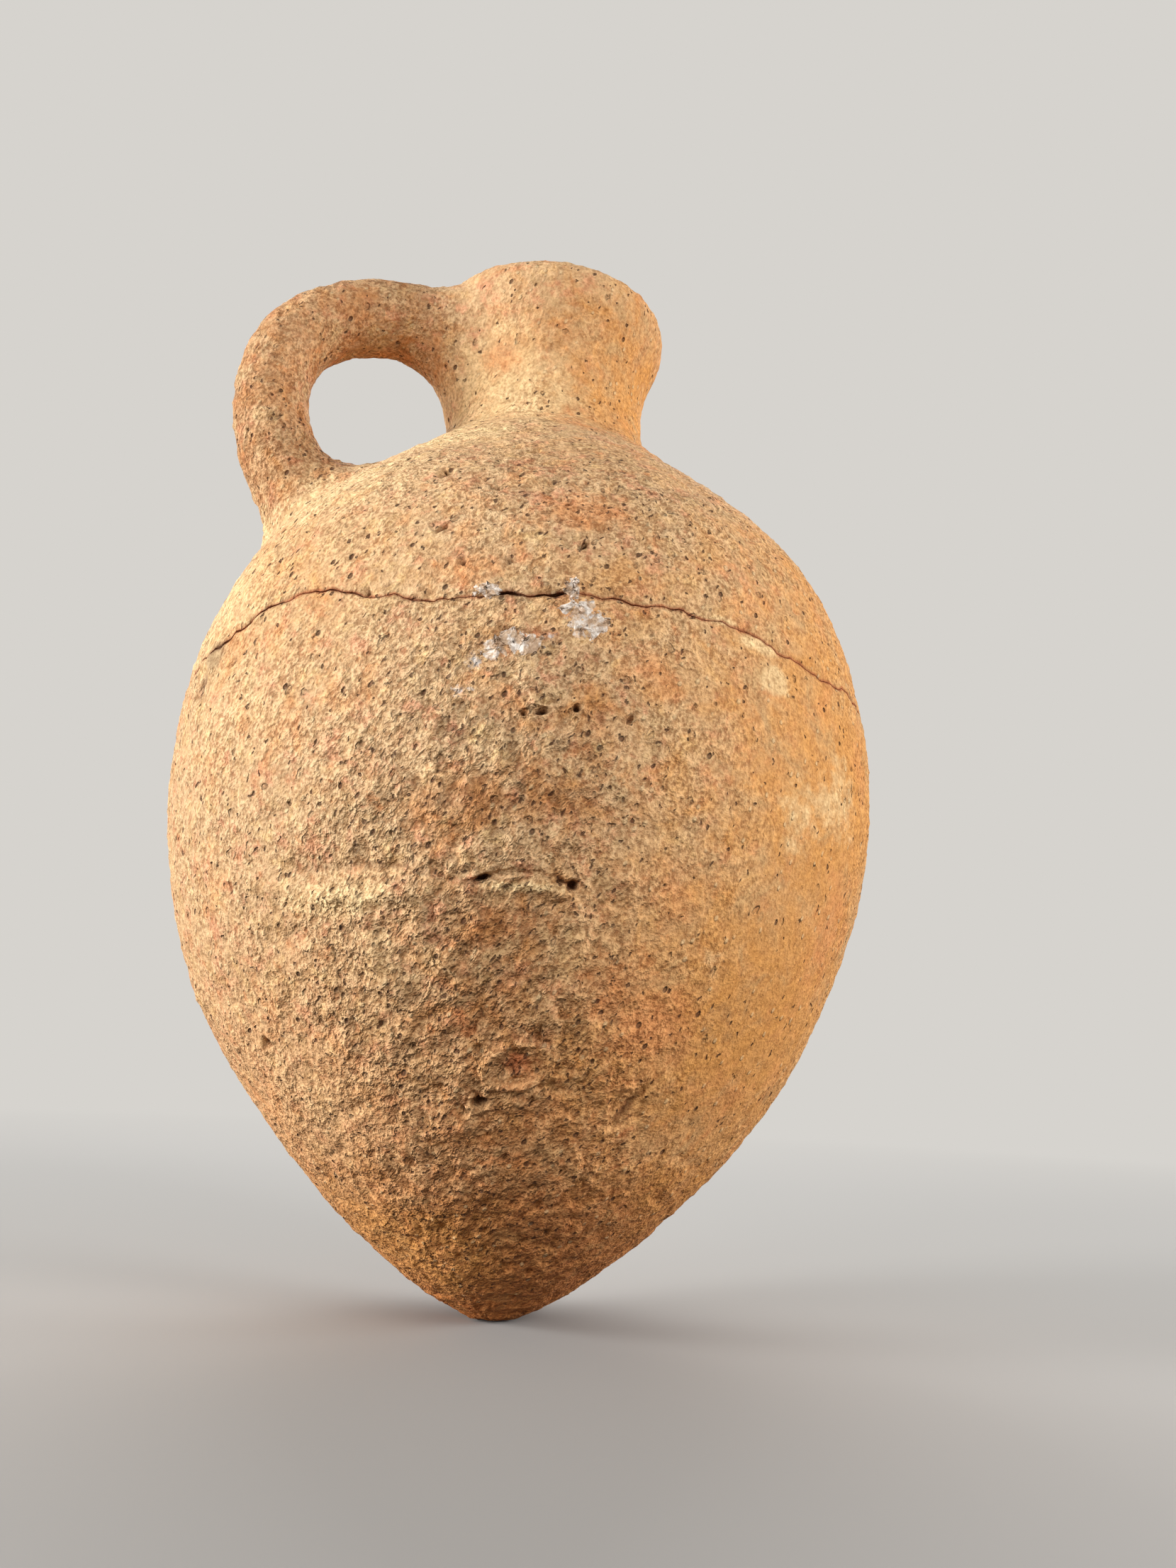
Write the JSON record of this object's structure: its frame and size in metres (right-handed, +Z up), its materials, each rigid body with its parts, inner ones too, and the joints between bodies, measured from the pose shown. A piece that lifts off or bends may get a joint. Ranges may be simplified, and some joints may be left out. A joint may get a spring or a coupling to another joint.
{
  "type": "terracotta jug",
  "caption": "Pointed egg-shaped terracotta jug with a short flared neck and a round loop handle from lip to shoulder, broken and rejoined round the belly.",
  "frame": {"origin": "middle of the small worn flat under the point, the lowest face of the jug", "axes": "+Z up along the jug's axis to the mouth; the handle lies in the plane y = 0 on the -X side"},
  "size_m": [0.131, 0.131, 0.2],
  "materials": {
    "clay_buff": "unglazed, sandy and gritty, worn",
    "clay_orange": "unglazed, pitted and weathered",
    "clay_brown": "unglazed, darker and stained towards the point",
    "clay_inside": "unglazed, smeared by hand",
    "plaster_white": "matte chalky plaster"
  },
  "bodies": {
    "root": {"base_plug": "clay_brown", "lower_body": "clay_orange", "upper_body": "clay_buff", "inner_seam_coil": "clay_inside", "neck": "clay_buff", "inner_neck_coil": "clay_inside", "loop_handle": "clay_buff", "handle_top_luting": "clay_buff", "handle_foot_luting": "clay_buff", "plaster_patch_large": "plaster_white", "plaster_patch_wide": "plaster_white", "plaster_patch_small": "plaster_white"}
  },
  "joints": []
}
